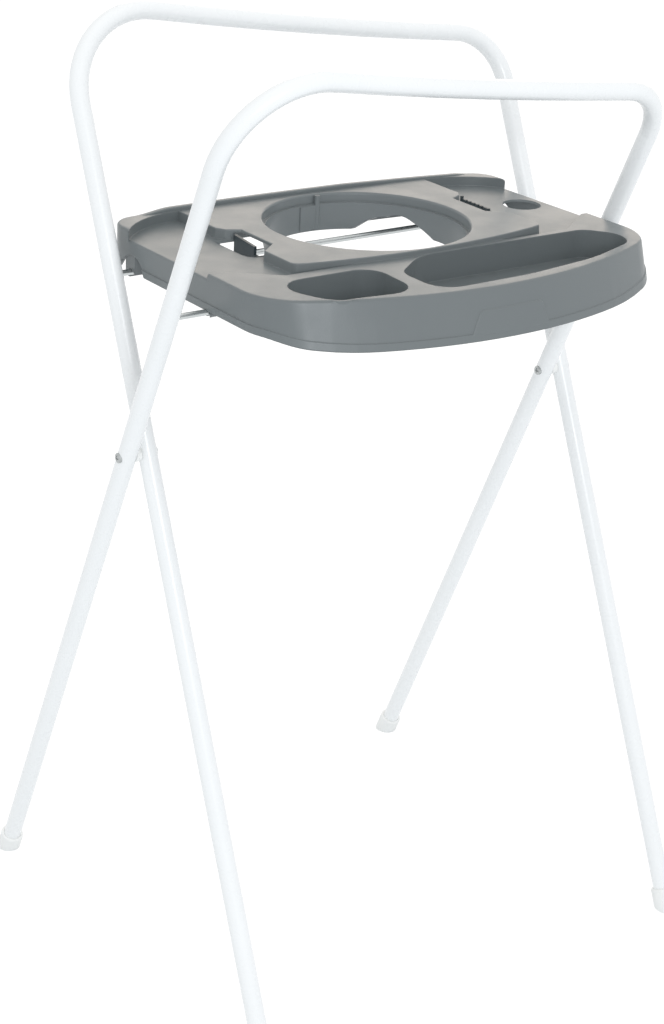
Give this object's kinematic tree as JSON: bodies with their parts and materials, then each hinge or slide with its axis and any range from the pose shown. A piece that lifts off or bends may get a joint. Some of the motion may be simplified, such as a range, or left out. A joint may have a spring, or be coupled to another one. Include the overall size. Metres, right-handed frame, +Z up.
{
  "type": "folding baby bath stand with tray",
  "caption": "Folding stand of crossed bent-tube frames with sloping rails, and a moulded grey tray with a round opening, compartments and a cup hole on its cross rods.",
  "frame": {"origin": "on the floor, midway between the feet, below the pivot axis", "axes": "+X to the right along the rails, +Y to the back, +Z up"},
  "size_m": [0.5858, 0.521, 0.9655],
  "materials": {
    "tube": "white powder coat, satin",
    "wire": "bright zinc",
    "fastener": "bright zinc",
    "cap": "white, moulded",
    "tray": "warm grey, moulded, satin",
    "finger": "dark grey, moulded"
  },
  "bodies": {
    "front_frame": {"front_rail_frame": "tube", "front_rod": "wire", "back_left_foot": "cap", "back_right_foot": "cap", "left_pivot_bolt": "fastener", "right_pivot_bolt": "fastener", "left_pivot_nut": "fastener", "right_pivot_nut": "fastener", "left_head_washer": "fastener", "right_head_washer": "fastener", "left_nut_washer": "fastener", "right_nut_washer": "fastener", "left_pivot_spacer": "cap", "right_pivot_spacer": "cap"},
    "rear_frame": {"rear_rail_frame": "tube", "rear_rod": "wire", "front_left_foot": "cap", "front_right_foot": "cap"},
    "tray": {"tray_moulding": "tray", "left_snap_finger": "finger", "right_snap_finger": "finger"}
  },
  "joints": [
    {"name": "frame_fold", "type": "hinge", "parent": "front_frame", "child": "rear_frame", "pos_m": [0, 0, 0.565], "axis": [1, 0, 0], "range_deg": [0, 42.5]},
    {"name": "tray_fold", "type": "hinge", "parent": "front_frame", "child": "tray", "pos_m": [0, -0.0699, 0.725], "axis": [1, 0, 0], "range_deg": [0, 106.25]}
  ],
  "couplings": [
    {"joint": "tray_fold", "follows": "frame_fold", "ratio": 2.5}
  ]
}
